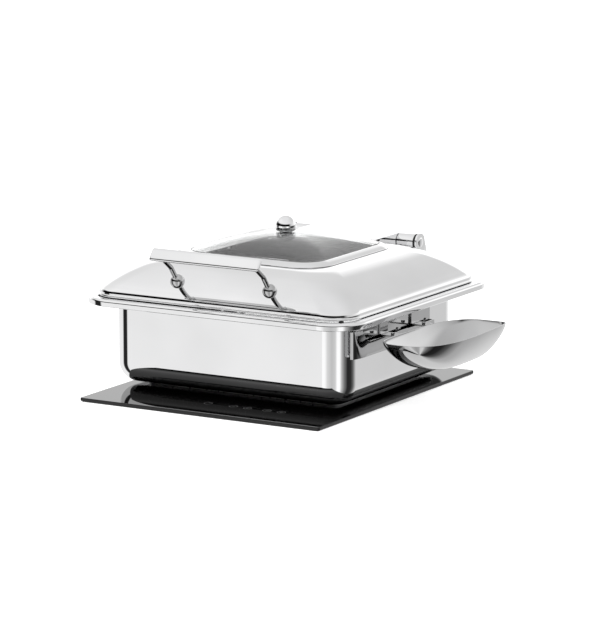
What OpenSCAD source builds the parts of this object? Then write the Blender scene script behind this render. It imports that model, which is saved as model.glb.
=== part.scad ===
// Induction buffet set: a drop-in glass induction hob, and the chafing dish that stands on it.
// Millimetres. The origin is on the coil's axis, at the underside of the hob's housing.
// +X is to the right, +Y to the back and +Z up, seen by a person who faces the touch controls.

/* [Hob] */
// Width of the glass plate
hob_w = 321; // [318:1:340]
// Depth of the glass plate
hob_d = 371; // [368:1:390]
// Thickness of the glass plate
glass_t = 4; // [4:0.5:5]
// Height from the housing's underside to the glass's top
hob_h = 60; // [60:1:75]
// Glass centre to the right of the coil's axis
hob_shift_x = 13.5; // [0:0.5:15]
// Glass centre in front of the coil's axis
hob_shift_y = 33.4; // [30:0.1:34]
// Outer radius of the induction coil
coil_r = 88; // [70:1:92]

/* [Dish] */
// Width of the dish's body
dish_w = 317; // [314:1:320]
// Depth of the dish's body
dish_d = 272.5; // [271:0.5:275]
// Radius of the body's upright corners
dish_r = 29; // [26:1:34]
// Radius between the body's walls and its bottom
dish_fillet = 24; // [14:1:25]
// Height of the rim's top above the hob
rim_z = 108; // [105:0.5:112]
// Width of the rim
rim_w = 369; // [366:1:372]
// Depth of the rim
rim_d = 361; // [360:1:364]
// Rim centre behind the body's centre
rim_shift = 9.4; // [8:0.1:10]
// Depth of the food pan below the rim
pan_depth = 65; // [40:1:70]

/* [Lid] */
// Width of the lid's flange
lid_w = 349; // [346:1:352]
// Depth of the lid's flange
lid_d = 333; // [331:1:334]
// Lid flange's centre behind the body's centre
lid_shift = 6; // [5:0.5:6]
// Width of the window's frame
window_w = 195; // [190:1:200]
// Depth of the window's frame
window_d = 194; // [188:1:196]
// Window centre behind the body's centre
window_shift = 3; // [0:0.5:4]
// Rise of the window's crown
window_crown = 18.4; // [12:0.2:20]
// Diameter of the ball knob
knob_d = 25.2; // [20:0.2:28]

/* [Handle] */
// Length of the grip
grip_l = 145; // [140:1:160]
// Height of the grip's face
grip_h = 16; // [12:1:20]
// Distance between the two stems
stem_gap = 123; // [100:1:126]
// Handle centre to the right of the lid's centre
handle_shift = 34; // [0:1:36]

/* [Hinge] */
// Height of the hinge pin above the hob
pin_z = 145; // [144:0.5:147]
// Distance of the hinge pin behind the dish's centre
pin_y = 170; // [168:1:171]
// Outer radius of the hinge barrel
barrel_r = 9.5; // [9:0.1:10]

/* [Spoon rest] */
// Width of the bowl, across the dish's wall
bowl_w = 81; // [76:1:84]
// Length of the bowl, along the dish's wall
bowl_l = 186; // [176:1:192]
// Depth of the bowl
bowl_h = 36; // [28:1:38]

/* [Hidden] */
$fn = 64;
hx = hob_shift_x;
hy = -hob_shift_y;
sheet = 1.2;
cover_t = 1;
flange = 10;
glass_z = hob_h - glass_t;
seal_t = 1;
housing_w = hob_w - 43;
housing_d = hob_d - 45;
inner_w = housing_w - 2 * sheet;
inner_d = housing_d - 2 * sheet;
shield_z = hob_h - 22;
carrier_z = hob_h - 13;
coil_z = carrier_z + 2;
coil_t = 4;
disc_z = coil_z + coil_t;
sensor_r = 8;
fan_x = 95;
fan_y = 80;
fan_size = 70;
fan_t = 15;
gland_x = -95;
gland_z = 22;
gland_bore_r = 4.5;
board_z = 8;
board_x = -38;
board_y = 30;
control_x = 42;
control_y = hy - housing_d / 2 + 26;
slat = 4;

wall = 1.2;
base_t = 2.5;
rim_r = 43;
rim_skirt = 8.8;
rim_back = rim_shift + rim_d / 2;
rim_t = 1.5;
pan_w = 325;
pan_d = 265;
pan_r = 22;
pan_side = 14.5;
opening_w = pan_w - 2 * pan_side + 8;
opening_d = pan_d - 2 * pan_side + 8;
lid_gap = 0.5;
lid_bead_r = 1.75;
lid_r = 35.5;
lid_front = lid_shift - lid_d / 2;
lid_back = lid_shift + lid_d / 2;
frame_z = rim_z + 45;
window_r = 36;
frame_band = 9;
frame_rise = 5;
glass_w = window_w - 2 * frame_band;
glass_d = window_d - 2 * frame_band;
glass_r = window_r - frame_band;
window_t = 4;
glass_edge_z = frame_z + frame_rise;
crown_z = glass_edge_z + window_crown;
stem_r = 3;
stud_r = 1.6;
neck_r = 6;
corner_inset = lid_r - (lid_r - lid_bead_r) * sqrt(0.5);
foot_y = lid_front + 2.45;
foot_z = rim_z + 9.6;
foot_t = 2.5;
foot_w = 5.5;
foot_tilt = 56;
stem_start = [foot_y - 2, foot_z + 1.05];
stem_tilt = 52;
grip_t = 5;
grip_tilt = 36;
leaf_x = 61;
knuckle_x = 61.5;
ring_x = 84;
ear_x = 87.3;
ear_t = 2.5;
pin_r = 3;
plate_front = lid_back + 1.4;
plate_back = rim_back - 4;
plate_t = 2.5;
hinge_screw_xs = [-60, -20, 20, 60];
bowl_x = 227.5;
bowl_y = -21;
bowl_z = 80;
bowl_t = 1;
bowl_skew = 11;
bowl_slope = 0.7;
bowl_inset = [52, 112];
bowl_lean = [3, 6];
stand_off = 3.2;
channel_x = dish_w / 2 + stand_off;
channel_w = 7.5;
channel_z = 60;
channel_h = 32;
channel_low = 17;
channel_t = 1.5;
channel_end = [5.5, 26];
channel_front = -126;
channel_back = 60;
stud_ys = [-98, -17, 50];
hook_ys = [-54, 20];
hook_w = 18;
hook_t = 2;

polished = [0.86, 0.86, 0.87];
steel = [0.68, 0.69, 0.7];
black = [0.05, 0.05, 0.05];

// ---- helpers ----------------------------------------------------------------------

// Lifts a child from the hob's glass, where the dish's heights start
module on_hob(z = 0) {
  translate([0, 0, hob_h + z]) children();
}

// Rectangle with true round corners
module rounded(w, d, r) {
  square([w - 2 * r, d], center = true);
  square([w, d - 2 * r], center = true);
  for (sx = [-1, 1], sy = [-1, 1]) translate([sx * (w / 2 - r), sy * (d / 2 - r)]) circle(r);
}

// Flat rounded frame of the given width
module frame_2d(w, d, r, band) {
  difference() {
    rounded(w, d, r);
    rounded(w - 2 * band, d - 2 * band, max(r - band, 1));
  }
}

// Round bead of radius t that runs along a rounded rectangle
module bead(w, d, r, t) {
  for (sx = [-1, 1]) translate([sx * w / 2, 0, 0]) rotate([90, 0, 0])
    cylinder(r = t, h = d - 2 * r, center = true);
  for (sy = [-1, 1]) translate([0, sy * d / 2, 0]) rotate([0, 90, 0])
    cylinder(r = t, h = w - 2 * r, center = true);
  for (q = [0:3]) {
    sx = q == 0 || q == 3 ? 1 : -1;
    sy = q < 2 ? 1 : -1;
    translate([sx * (w / 2 - r), sy * (d / 2 - r), 0]) rotate([0, 0, 90 * q])
      rotate_extrude(angle = 90) translate([r, 0]) circle(t, $fn = 32);
  }
}

// One level ring of points round a rounded rectangle centred at y = cy, with n steps in each corner
function ring(w, d, r, z, cy = 0, n = 8) = [
  for (q = [0:3], i = [0:n])
    let (a = 90 * (q + i / n), sx = q == 0 || q == 3 ? 1 : -1, sy = q < 2 ? 1 : -1)
    [sx * (w / 2 - r) + r * cos(a), cy + sy * (d / 2 - r) + r * sin(a), z]
];

// Closed skin through a list of rings: capped at both ends, or joined round into a hoop
module loft(rings, hoop = false) {
  n = len(rings[0]);
  m = len(rings);
  last = hoop ? m - 1 : m - 2;
  sides = [
    for (k = [0:last], i = [0:n - 1])
      let (j = (i + 1) % n, k2 = (k + 1) % m)
      [k * n + i, k2 * n + i, k2 * n + j, k * n + j]
  ];
  caps = hoop ? [] : [[for (i = [0:n - 1]) i], [for (i = [n - 1:-1:0]) (m - 1) * n + i]];
  polyhedron([for (r = rings) each r], concat(sides, caps), convexity = 6);
}

// Rings of a tub's side, from its flat bottom round the fillet, inset by t for the inside
function tub(w, d, r, f, z, t = 0) = [
  for (a = [0:15:90])
    let (inset = f * (1 - sin(a)))
    ring(w - 2 * inset, d - 2 * inset, max(r - inset, 3), z + (f - t) * (1 - cos(a)) * f / (f - t))
];

module slots(count, pitch, w, d) {
  for (i = [0:count - 1]) translate([0, (i - (count - 1) / 2) * pitch]) square([w, d], center = true);
}

module screw(r, l, head_r, head_h) {
  cylinder(r = r, h = l);
  translate([0, 0, -head_h]) cylinder(r = head_r, h = head_h);
}

// ---- hob --------------------------------------------------------------------------

module hob_glass() {
  color(black) translate([hx, hy, glass_z]) linear_extrude(glass_t) rounded(hob_w, hob_d, 3);
}

module glass_seal() {
  color([0.12, 0.12, 0.12]) translate([hx, hy, glass_z - seal_t]) linear_extrude(seal_t)
    frame_2d(hob_w - 4, hob_d - 4, 2, 10);
}

cover_holes = [
  for (sx = [-1, 1], y = [-1, 0, 1]) [sx * (housing_w / 2 - 6), y * (housing_d / 2 - 20)]
];

clamp_spots = [for (sx = [-1, 1], sy = [-1, 1]) [sx, sy * 90]];
clamp_z = 30;

module hob_housing() {
  color(steel) difference() {
    translate([hx, hy, 0]) {
      translate([0, 0, cover_t]) linear_extrude(glass_z - cover_t) frame_2d(housing_w, housing_d, 4, sheet);
      translate([0, 0, cover_t]) linear_extrude(sheet) frame_2d(housing_w, housing_d, 4, flange);
      translate([0, 0, glass_z - sheet]) linear_extrude(sheet)
        frame_2d(housing_w + 12, housing_d + 12, 5, 8);
    }
    translate([hx, hy, 0]) for (p = cover_holes) translate(p) cylinder(r = 1.5, h = 10);
    for (i = [0:9]) translate([-30 + 12 * i, hy + housing_d / 2, 28]) cube([5, 6, 20], center = true);
    translate([gland_x, hy + housing_d / 2 - 4, gland_z]) rotate([-90, 0, 0]) cylinder(r = 8, h = 8);
    translate([hx, hy, clamp_z]) for (p = clamp_spots)
      translate([p[0] * (housing_w / 2 - 3), p[1], 0]) rotate([0, 90 * p[0], 0]) cylinder(r = 1.5, h = 6);
  }
}

module base_cover() {
  color(steel) difference() {
    translate([hx, hy, 0]) linear_extrude(cover_t) rounded(housing_w, housing_d, 4);
    translate([fan_x, fan_y, -1]) linear_extrude(4) intersection() {
      circle(31);
      slots(8, 2 * slat, fan_size, slat);
    }
    translate([hx, hy, 0]) for (p = cover_holes) translate(p) cylinder(r1 = 3, r2 = 1.5, h = cover_t);
  }
}

module base_screws() {
  color(steel) translate([hx, hy, 0]) for (p = cover_holes) translate(p) {
    cylinder(r1 = 3, r2 = 1.5, h = cover_t);
    translate([0, 0, cover_t]) cylinder(r = 1.5, h = 5);
  }
}

module worktop_clamps() {
  color(steel) translate([hx, hy, 0]) for (p = clamp_spots)
    translate([p[0] * housing_w / 2, p[1], 0]) mirror([p[0] < 0 ? 1 : 0, 0, 0]) difference() {
      union() {
        translate([0, -10, 18]) cube([1.5, 20, 24]);
        translate([0, -10, 18]) cube([8, 20, 1.5]);
        translate([6.5, -10, 18]) cube([1.5, 20, 6]);
      }
      translate([-1, 0, clamp_z]) rotate([0, 90, 0]) cylinder(r = 1.5, h = 4);
    }
}

module clamp_screws() {
  color(steel) translate([hx, hy, clamp_z]) for (p = clamp_spots)
    translate([p[0] * (housing_w / 2 + 1.5), p[1], 0]) rotate([0, -90 * p[0], 0]) screw(1.5, 7, 3, 2);
}

module shield_plate() {
  color([0.75, 0.76, 0.78]) {
    difference() {
      translate([hx, hy, shield_z]) linear_extrude(sheet) rounded(inner_w - 2, inner_d - 2, 3);
      for (sx = [-1, 1]) translate([sx * 8, 72, shield_z - 1]) cylinder(r = 4, h = 4);
      translate([control_x, control_y, shield_z - 1]) cylinder(r = 6, h = 4);
    }
    for (sx = [-1, 1], sy = [-1, 1])
      translate([hx + sx * (inner_w / 2 - 6), hy + sy * (inner_d / 2 - 30), cover_t + sheet])
        linear_extrude(shield_z - cover_t - sheet) square([1.5, 12], center = true);
  }
}

module coil_carrier() {
  color([0.85, 0.83, 0.78]) {
    translate([0, 0, carrier_z]) linear_extrude(2) difference() {
      circle(coil_r + 8);
      circle(sensor_r + 1);
      for (a = [0:45:315]) rotate(a + 22.5) translate([coil_r * 0.6, 0]) square([40, 10], center = true);
    }
    for (a = [0:90:270]) rotate(a + 22.5) translate([coil_r + 3, 0, shield_z + sheet])
      cylinder(r = 4, h = carrier_z - shield_z - sheet);
  }
}

module ferrite_bars() {
  color([0.2, 0.2, 0.22]) for (a = [0:45:315]) rotate(a)
    translate([coil_r * 0.35, -6, carrier_z - 5]) cube([coil_r * 0.6, 12, 5]);
}

// Flat spiral of copper braid, drawn as one band that winds outwards
module induction_coil() {
  turns = 11;
  first_r = 20;
  step = (coil_r - first_r) / turns;
  band = step * 0.72;
  per_turn = 24;
  function spiral(shift) = [
    for (i = [0:turns * per_turn - 1])
      let (a = 360 * i / per_turn, r = first_r + step * i / per_turn + shift)
      [r * cos(a), r * sin(a)]
  ];
  inner = spiral(0);
  outer = spiral(band);
  color([0.72, 0.42, 0.2]) translate([0, 0, coil_z]) linear_extrude(coil_t)
    polygon(concat(outer, [for (i = [len(inner) - 1:-1:0]) inner[i]]));
}

module insulation_disc() {
  color([0.9, 0.88, 0.82]) translate([0, 0, disc_z]) linear_extrude(2.4) difference() {
    circle(coil_r + 4);
    circle(sensor_r + 1);
  }
}

module temperature_sensor() {
  color([0.8, 0.8, 0.75]) {
    translate([0, 0, carrier_z - 6]) cylinder(r = 3, h = glass_z - carrier_z + 3);
    translate([0, 0, glass_z - 3]) cylinder(r = sensor_r, h = 3);
  }
}

module coil_leads() {
  color([0.8, 0.25, 0.1]) for (sx = [-1, 1]) {
    translate([sx * 8, 72, board_z + 1.6]) cylinder(r = 2, h = carrier_z - board_z - 8);
    translate([sx * 8, 72, carrier_z - 7]) sphere(r = 2.6);
  }
}

module power_board() {
  color([0.1, 0.35, 0.18]) translate([board_x, board_y, board_z]) linear_extrude(1.6) difference() {
    square([150, 130], center = true);
    for (sx = [-1, 1], sy = [-1, 1]) translate([sx * 70, sy * 60]) circle(1.6);
  }
}

module board_standoffs() {
  color([0.8, 0.7, 0.4]) for (sx = [-1, 1], sy = [-1, 1])
    translate([board_x + sx * 70, board_y + sy * 60, cover_t]) {
      cylinder(r = 3, h = board_z - cover_t);
      translate([0, 0, board_z - cover_t]) cylinder(r = 1.6, h = 1.6);
      translate([0, 0, board_z - cover_t + 1.6]) cylinder(r = 3, h = 2);
    }
}

module heatsink() {
  color([0.75, 0.76, 0.78]) translate([board_x - 20, board_y - 5, board_z + 1.6]) {
    translate([-45, -22, 4.5]) cube([90, 44, 4]);
    for (i = [0:10]) translate([-45, -22 + 4.2 * i, 8.5]) cube([90, 1.6, 15]);
    for (x = [-44, 40]) translate([x, -22, 0]) cube([4, 44, 4.5]);
  }
}

module power_transistors() {
  color(black) for (x = [-45, -20, 5]) translate([board_x + x - 8, board_y - 15, board_z + 1.6])
    cube([16, 20, 4.5]);
}

module filter_capacitors() {
  color([0.85, 0.85, 0.2]) translate([board_x, board_y - 48, board_z + 1.6]) {
    for (x = [-50, -15]) translate([x, -8, 0]) cube([30, 16, 22]);
    translate([35, 0, 0]) cylinder(r = 9, h = 24);
  }
}

module filter_choke() {
  color([0.7, 0.4, 0.15]) translate([board_x + 50, board_y - 15, board_z + 1.6 + 5])
    rotate_extrude() translate([12, 0]) circle(5, $fn = 24);
}

module control_holder() {
  color([0.9, 0.9, 0.9]) translate([control_x, control_y, shield_z + sheet])
    linear_extrude(8.8) difference() {
      square([200, 44], center = true);
      square([194, 38], center = true);
    }
}

module control_board() {
  color([0.1, 0.3, 0.18]) translate([control_x, control_y, shield_z + sheet + 8.8]) linear_extrude(1.4)
    square([198, 42], center = true);
}

control_top = shield_z + sheet + 10.2;

module display_module() {
  color([0.15, 0.02, 0.02]) translate([control_x - 36, control_y - 7, control_top]) cube([20, 14, 5]);
}

module touch_springs() {
  color([0.75, 0.7, 0.5]) for (x = [-43.5, -9.6, 9.4, 35.3, 54.3])
    translate([control_x + x, control_y, control_top]) difference() {
      cylinder(r = 4, h = glass_z - control_top);
      cylinder(r = 2.6, h = 20);
    }
}

module fan_housing() {
  color(black) translate([fan_x, fan_y, cover_t]) difference() {
    union() {
      linear_extrude(fan_t) difference() {
        rounded(fan_size, fan_size, 4);
        circle(32);
      }
      linear_extrude(2) difference() {
        for (a = [0, 90]) rotate(a) square([68, 5], center = true);
        circle(13);
      }
      cylinder(r = 13, h = 2.4);
      cylinder(r = 4, h = 8);
    }
    translate([0, 0, 1]) cylinder(r = 1.6, h = 20);
  }
}

module fan_rotor() {
  color([0.15, 0.15, 0.16]) translate([fan_x, fan_y, cover_t + 3]) {
    difference() {
      cylinder(r = 13, h = 11);
      translate([0, 0, -1]) cylinder(r = 11.5, h = 10);
    }
    translate([0, 0, -1.5]) cylinder(r = 1.55, h = 11);
    for (a = [0:360 / 7:359]) rotate([0, 0, a]) translate([12.6, 0, 5.5]) rotate([35, 0, 0])
      translate([0, -5.5, -0.6]) cube([17.4, 11, 1.2]);
  }
}

module air_duct() {
  color([0.1, 0.1, 0.1]) translate([fan_x, fan_y, cover_t + fan_t]) difference() {
    translate([-37, -37, 0]) cube([74, 74, 18]);
    translate([-40, -34, -1]) cube([74, 68, 16]);
    translate([-34, -34, -1]) cube([68, 68, 3]);
  }
}

module terminal_block() {
  color([0.92, 0.92, 0.9]) translate([gland_x - 20, 99, cover_t]) difference() {
    cube([40, 18, 16]);
    for (x = [8, 20, 32]) translate([x, 9, 6]) cylinder(r = 2.5, h = 12);
  }
}

module cable_gland() {
  color(black) translate([gland_x, hy + housing_d / 2, gland_z]) rotate([-90, 0, 0]) difference() {
    union() {
      translate([0, 0, -9]) cylinder(r = 8, h = 11);
      cylinder(r = 12, h = 3.5, $fn = 6);
      translate([0, 0, 3.5]) cylinder(r = 10, h = 9);
      translate([0, 0, 12.5]) cylinder(r1 = 10, r2 = 7, h = 3.5);
    }
    translate([0, 0, -10]) cylinder(r = gland_bore_r, h = 30);
  }
}

module gland_nut() {
  color(black) translate([gland_x, hy + housing_d / 2 - sheet, gland_z]) rotate([90, 0, 0]) difference() {
    cylinder(r = 12, h = 4, $fn = 6);
    translate([0, 0, -1]) cylinder(r = 8, h = 6);
  }
}

// ---- dish -------------------------------------------------------------------------

module induction_base() {
  inset = dish_fillet + 4;
  color(steel) on_hob() linear_extrude(base_t) rounded(dish_w - 2 * inset, dish_d - 2 * inset, 20);
}

module water_pan() {
  top = rim_z - rim_t;
  outer = concat(tub(dish_w, dish_d, dish_r, dish_fillet, base_t), [ring(dish_w, dish_d, dish_r, top)]);
  iw = dish_w - 2 * wall;
  id = dish_d - 2 * wall;
  inner = concat([ring(iw, id, dish_r - wall, top)],
    [for (k = [6:-1:0]) tub(iw, id, dish_r - wall, dish_fillet - wall, base_t + wall)[k]]);
  color(polished) on_hob() loft(concat(outer, inner));
}

// The rim's sheet, as [distance in from its outer edge, height below its top]
rim_section = [
  [3.6, 0], [1, 1], [0, 3.6], [0, rim_skirt - 1], [1, rim_skirt], [3, rim_skirt],
  [3, rim_skirt - 1.2], [1.3, rim_skirt - 1.2], [1.3, 3.8], [2, 2.3], [3.8, rim_t]
];

module pan_rim() {
  color(polished) on_hob() loft(concat(
    [for (p = rim_section)
      ring(rim_w - 2 * p[0], rim_d - 2 * p[0], rim_r - p[0], rim_z - p[1], rim_shift)],
    [ring(opening_w, opening_d, pan_r + 4, rim_z - rim_t), ring(opening_w, opening_d, pan_r + 4, rim_z)]
  ), hoop = true);
}

module lid_bumpers() {
  color(black) on_hob(rim_z) for (sx = [-1, 1], sy = [-1, 1])
    translate([sx * (lid_w / 2 - corner_inset), lid_shift + sy * (lid_d / 2 - corner_inset), 0])
      cylinder(r = 3, h = lid_gap - 0.15);
}

module food_pan() {
  t = 0.9;
  bw = pan_w - 2 * pan_side;
  bd = pan_d - 2 * pan_side;
  bottom = rim_z - pan_depth;
  outer = tub(bw, bd, pan_r, 16, bottom);
  inner = tub(bw - 2 * t, bd - 2 * t, pan_r - t, 16 - t, bottom + t);
  color([0.78, 0.78, 0.8]) on_hob() loft(concat(
    outer,
    [ring(bw, bd, pan_r, rim_z), ring(pan_w, pan_d, 30, rim_z), ring(pan_w, pan_d, 30, rim_z + t)],
    [ring(bw - 2 * t, bd - 2 * t, pan_r - t, rim_z + t)],
    [for (k = [6:-1:0]) inner[k]]
  ));
}

// Plan of the bracket's channel, inset by t; its front end is rounded on the outer side
function channel_plan(t) = concat(
  [[t, channel_back - t], [t, channel_front + t]],
  [for (a = [-90:15:0]) [
    channel_w - channel_end[0] + (channel_end[0] - t) * cos(a),
    channel_front + channel_end[1] + (channel_end[1] - t) * sin(a)
  ]],
  [[channel_w - t, channel_back - t]]
);

module side_bracket() {
  step = channel_front + 30;
  color(polished) on_hob(channel_z) difference() {
    translate([channel_x, 0, 0]) linear_extrude(channel_h) polygon(channel_plan(0));
    translate([channel_x, 0, channel_t]) linear_extrude(channel_h) polygon(channel_plan(channel_t));
    translate([channel_x + channel_t, 0, 0]) rotate([90, 0, 90]) linear_extrude(channel_w) polygon([
      [step - 14, channel_h + 1], [step - 12, channel_h - 5], [step - 6, channel_low + 3],
      [step + 4, channel_low], [channel_back + 1, channel_low], [channel_back + 1, channel_h + 1]
    ]);
    for (y = stud_ys) translate([channel_x - 1, y, channel_h / 2]) rotate([0, 90, 0]) cylinder(r = 2, h = 4);
  }
}

module bracket_studs() {
  color(steel) on_hob(channel_z + channel_h / 2) for (y = stud_ys)
    translate([dish_w / 2, y, 0]) rotate([0, 90, 0]) {
      cylinder(r = 4, h = stand_off);
      cylinder(r = 2, h = stand_off + channel_t + 1);
      translate([0, 0, stand_off + channel_t]) cylinder(r = 4, h = 1.5);
    }
}

// One ring of the spoon bowl: straight sides, and ends that lean to opposite sides.
// depth is 0 at the rim and 1 at the bottom, which lies a little outwards and back
function bowl_ring(w, l, z, depth, n = 48) = [
  for (i = [0:n - 1])
    let (a = 360 * i / n, c = cos(a), s = sin(a))
    [
      bowl_x + bowl_lean[0] * depth + w / 2 * sign(c) * pow(abs(c), 0.5) + bowl_skew * pow(s, 3) * w / bowl_w,
      bowl_y + bowl_lean[1] * depth + l / 2 * sign(s) * pow(abs(s), 0.85),
      z
    ]
];

// Rings of the spoon bowl, from its bottom to its rim, for the outside or the inside
function bowl_rings(t) = [
  for (a = [0:15:90])
    let (
      k = pow(1 - sin(a), bowl_slope),
      w = bowl_w - 2 * t - bowl_inset[0] * k,
      l = bowl_l - 2 * t - bowl_inset[1] * k
    )
    bowl_ring(w, l, bowl_z - (bowl_h - t) * cos(a), k)
];

module spoon_rest() {
  inner = bowl_rings(bowl_t);
  color(polished) on_hob() loft(concat(bowl_rings(0), [for (k = [6:-1:0]) inner[k]]));
}

module spoon_hooks() {
  near = channel_x - 0.3;
  far = channel_x + channel_t + 0.3;
  top = channel_z + channel_h + 0.2;
  arm = bowl_z - 0.6;
  rest = bowl_x - bowl_w / 2 + 6;
  color(polished) on_hob() difference() {
    for (y = hook_ys) translate([0, y + hook_w / 2, 0]) rotate([90, 0, 0]) linear_extrude(hook_w) polygon([
      [far, arm - hook_t], [rest, arm - hook_t], [rest, arm], [far + hook_t, arm],
      [far + hook_t, top + hook_t], [near - hook_t, top + hook_t], [near - hook_t, top - 6],
      [near, top - 6], [near, top], [far, top]
    ]);
    loft(bowl_rings(0));
  }
}

module spoon_rivets() {
  color(steel) on_hob(bowl_z - 0.6) for (y = hook_ys)
    translate([channel_x + channel_w + 8, y, 0]) cylinder(r = 2.5, h = 1.6);
}

// ---- hinge ------------------------------------------------------------------------

module along_pin(x, r, l) {
  translate([x, pin_y, pin_z]) rotate([0, 90, 0]) cylinder(r = r, h = l);
}

module both_sides() {
  for (side = [0, 1]) mirror([side, 0, 0]) children();
}

module hinge_bracket() {
  end_x = ear_x + ear_t;
  color(polished) on_hob() difference() {
    union() {
      translate([-end_x, plate_front, rim_z]) cube([2 * end_x, plate_back - plate_front, plate_t]);
      both_sides() {
        translate([ear_x, 0, 0]) rotate([90, 0, 90]) linear_extrude(ear_t) {
          polygon([
            [plate_front, rim_z], [plate_back, rim_z], [plate_back + 1, rim_z + 22],
            [pin_y + 10.5, pin_z + 2], [pin_y, pin_z], [pin_y - 10.5, pin_z - 3], [plate_front - 1, pin_z - 16]
          ]);
          translate([pin_y, pin_z]) circle(barrel_r + 1.5);
        }
        along_pin(knuckle_x, barrel_r, ring_x - knuckle_x);
        along_pin(ring_x - 1, neck_r, ear_x - ring_x + 2);
      }
    }
    along_pin(-end_x - 1, pin_r, 2 * (end_x + 1));
    for (x = hinge_screw_xs) translate([x, (plate_front + plate_back) / 2, rim_z - 1]) cylinder(r = 2, h = 5);
  }
}

module hinge_screws() {
  color(steel) on_hob(rim_z + plate_t) for (x = hinge_screw_xs)
    translate([x, (plate_front + plate_back) / 2, 0]) rotate([180, 0, 0]) screw(2, plate_t, 4, 2);
}

module hinge_rings() {
  color(black) on_hob() both_sides() difference() {
    along_pin(ring_x, barrel_r + 0.4, ear_x - ring_x);
    along_pin(ring_x - 1, neck_r, ear_x - ring_x + 2);
  }
}

module hinge_pin() {
  color(steel) on_hob() along_pin(-ear_x - ear_t, pin_r, 2 * (ear_x + ear_t));
}

module hinge_caps() {
  color(polished) on_hob() both_sides() along_pin(ear_x + ear_t, neck_r, 1);
}

// ---- lid --------------------------------------------------------------------------

// The lid's side, as [share of the way in to the window frame, height above the rim]
lid_profile = [
  [0.013, 3.9], [0.016, 6], [0.025, 8.3], [0.05, 10.8], [0.09, 13.6], [0.14, 17], [0.21, 21.2],
  [0.32, 27.1], [0.45, 33], [0.6, 38.6], [0.8, 43], [1, 45]
];

// One ring of the lid's side, moved in by t
function lid_ring(share, z, t = 0) = ring(
  lid_w - (lid_w - window_w) * share - 2 * t, lid_d - (lid_d - window_d) * share - 2 * t,
  lid_r + (window_r - lid_r) * share - t, rim_z + z, lid_shift + (window_shift - lid_shift) * share
);

// How far the lid's inner face lies [in, down] from point k of its profile
function lid_skin(k) = let (
    a = lid_profile[max(k - 1, 0)],
    b = lid_profile[min(k + 1, len(lid_profile) - 1)],
    run = (b[0] - a[0]) * (lid_d - window_d) / 2,
    rise = b[1] - a[1]
  ) [rise, run] * wall / norm([run, rise]);

// Height of the lid's top at a distance y behind the body's centre, on its middle line
function lid_top(y) = rim_z + lookup((lid_back - y) / (lid_back - window_shift - window_d / 2), lid_profile);

module lid_shell() {
  last = len(lid_profile) - 1;
  outer = [for (p = lid_profile) lid_ring(p[0], p[1])];
  inner = [
    for (k = [last:-1:0])
      lid_ring(lid_profile[k][0], lid_profile[k][1] - lid_skin(k)[1], lid_skin(k)[0])
  ];
  color(polished) on_hob() difference() {
    union() {
      loft(concat(outer, inner), hoop = true);
      translate([0, lid_shift, rim_z + lid_gap + lid_bead_r])
        bead(lid_w - 2 * lid_bead_r, lid_d - 2 * lid_bead_r, lid_r - lid_bead_r, lid_bead_r);
    }
    at_foot() translate([0, 0, -6]) cylinder(r = stud_r, h = 12);
  }
}

module window_frame() {
  z = frame_z;
  t = 1.4;
  lip = 5;
  color(polished) on_hob() translate([0, window_shift, 0]) loft([
    ring(window_w + 4, window_d + 4, window_r + 2, z + 0.2),
    ring(window_w + 3, window_d + 3, window_r + 1.5, z + t - 0.3),
    ring(window_w - 4, window_d - 4, window_r - 2, z + 3),
    ring(glass_w + 0.6, glass_d + 0.6, glass_r + 0.3, z + frame_rise),
    ring(glass_w + 0.6, glass_d + 0.6, glass_r + 0.3, z - t + 0.4),
    ring(glass_w - 2 * lip, glass_d - 2 * lip, glass_r - lip, z - t + 0.4),
    ring(glass_w - 2 * lip, glass_d - 2 * lip, glass_r - lip, z - 2 * t),
    ring(window_w - 3, window_d - 3, window_r - 2, z - 2 * t),
    ring(window_w - 2.6, window_d - 2.6, window_r - 1.8, z + 0.2)
  ], hoop = true);
}

module window_gasket() {
  color(black) on_hob() translate([0, window_shift, frame_z - 1]) linear_extrude(frame_rise - window_t + 1)
    frame_2d(glass_w - 0.6, glass_d - 0.6, glass_r - 0.3, 4);
}

// One ring of the crowned glass: share is 0 at the edge and 1 at the middle
function crown_ring(share, t) = let (
    k = 1 - share * 0.95,
    w = glass_w * k,
    d = glass_d * k,
    corner = 2 * glass_r / min(glass_w, glass_d),
    r = min(w, d) / 2 * (corner + (0.98 - corner) * share)
  ) ring(w, d, r, glass_edge_z + window_crown * (1 - k * k) - t);

module window_glass() {
  shares = [0, 0.08, 0.2, 0.34, 0.5, 0.66, 0.82, 1];
  color([0.6, 0.65, 0.66, 0.4]) on_hob() translate([0, window_shift, 0]) loft(concat(
    [for (s = shares) crown_ring(s, 0)],
    [for (k = [7:-1:0]) crown_ring(shares[k], window_t)]
  ), hoop = true);
}

module knob_washer() {
  color(black) on_hob(crown_z) translate([0, window_shift, 0]) difference() {
    cylinder(r = 8, h = 0.8);
    translate([0, 0, -1]) cylinder(r = pin_r, h = 4);
  }
}

module lid_knob() {
  color(polished) on_hob(crown_z + 0.8) translate([0, window_shift, 0]) difference() {
    translate([0, 0, knob_d * 0.195]) sphere(d = knob_d);
    translate([0, 0, -knob_d]) cylinder(d = 2 * knob_d, h = knob_d);
    translate([0, 0, -1]) cylinder(r = pin_r, h = 8);
  }
}

module knob_screw() {
  inside = crown_z - window_t - 0.6;
  color(steel) on_hob() translate([0, window_shift, 0]) {
    translate([0, 0, inside - 1.5]) cylinder(r = 9, h = 1.5);
    translate([0, 0, inside]) cylinder(r = pin_r, h = crown_z + 6.5 - inside);
    translate([0, 0, inside - 5]) cylinder(r = 5, h = 3.5);
  }
}

module at_stems() {
  for (sx = [-1, 1]) translate([handle_shift + sx * stem_gap / 2, 0, 0]) children();
}

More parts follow.
